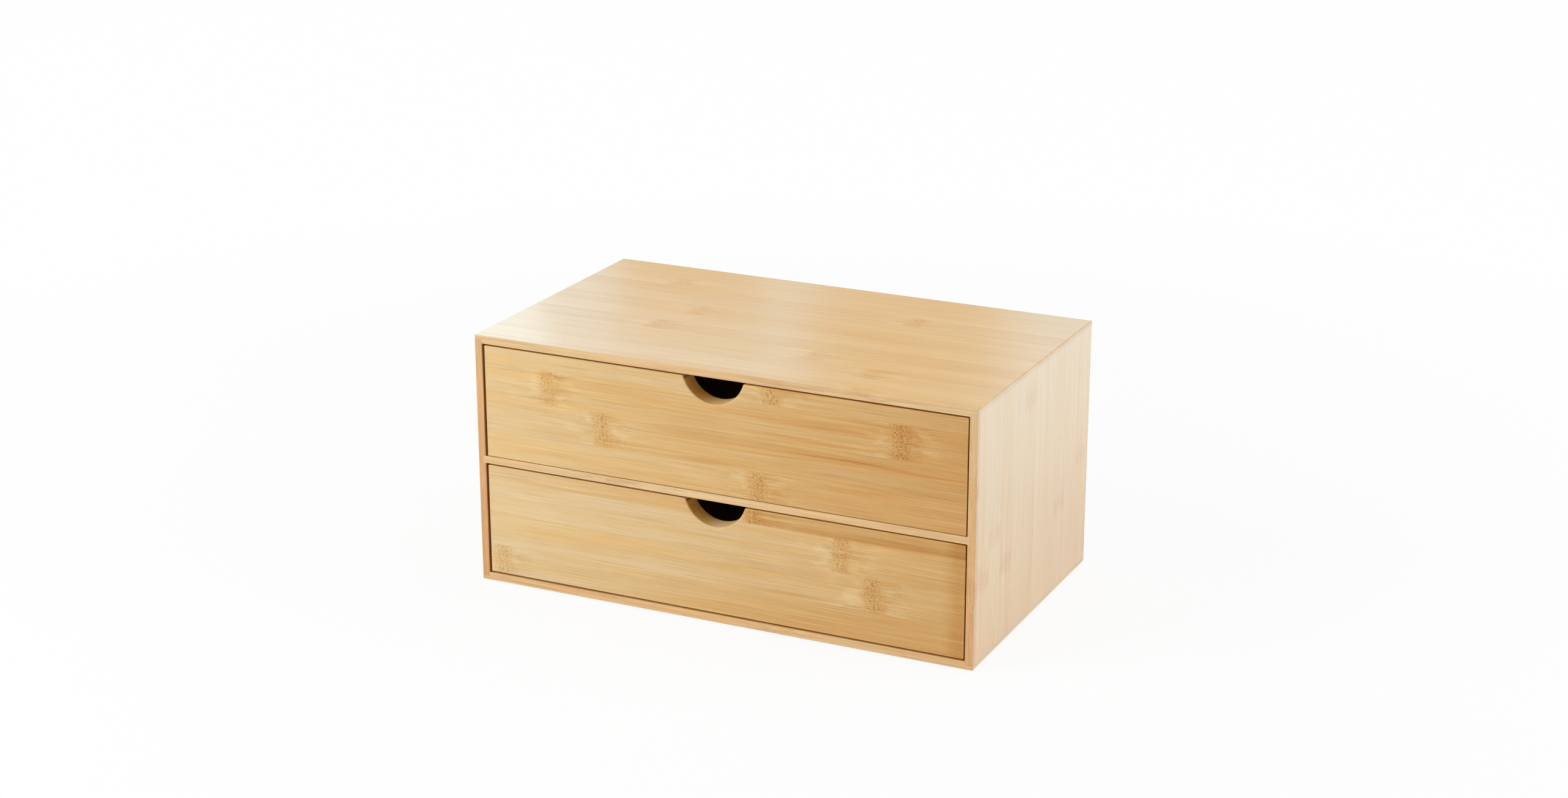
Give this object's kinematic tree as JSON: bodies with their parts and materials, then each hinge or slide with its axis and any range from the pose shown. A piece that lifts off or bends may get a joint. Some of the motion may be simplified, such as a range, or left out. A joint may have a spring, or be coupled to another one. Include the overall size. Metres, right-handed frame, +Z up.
{
  "type": "desktop mini drawers",
  "caption": "Low bamboo desktop chest with stacked pull-out drawers, each with a half-moon finger notch, and a flat top to stand things on.",
  "frame": {"origin": "on the surface that the chest stands on, under the middle of the case", "axes": "+X to the right as seen from the front, along the width; +Y from the front to the back; +Z up"},
  "size_m": [0.33, 0.19, 0.1615],
  "materials": {
    "bamboo_case": "satin lacquered laminated bamboo",
    "bamboo_front": "satin lacquered laminated bamboo",
    "bamboo_inner": "thin matt lacquer on laminated bamboo",
    "pad_rubber": "matt"
  },
  "bodies": {
    "case": {"top_board": "bamboo_case", "bottom_board": "bamboo_case", "left_side_board": "bamboo_case", "right_side_board": "bamboo_case", "shelf": "bamboo_case", "back_panel": "bamboo_inner", "foot_pad_front_left": "pad_rubber", "foot_pad_front_right": "pad_rubber", "foot_pad_rear_left": "pad_rubber", "foot_pad_rear_right": "pad_rubber"},
    "upper_drawer": {"upper_drawer_front": "bamboo_front", "upper_drawer_left_side": "bamboo_inner", "upper_drawer_right_side": "bamboo_inner", "upper_drawer_back": "bamboo_inner", "upper_drawer_bottom": "bamboo_inner"},
    "lower_drawer": {"lower_drawer_front": "bamboo_front", "lower_drawer_left_side": "bamboo_inner", "lower_drawer_right_side": "bamboo_inner", "lower_drawer_back": "bamboo_inner", "lower_drawer_bottom": "bamboo_inner"}
  },
  "joints": [
    {"name": "upper_drawer_slide", "type": "slide", "parent": "case", "child": "upper_drawer", "axis": [0, -1, 0], "range_m": [0, 0.15]},
    {"name": "lower_drawer_slide", "type": "slide", "parent": "case", "child": "lower_drawer", "axis": [0, -1, 0], "range_m": [0, 0.15]}
  ]
}
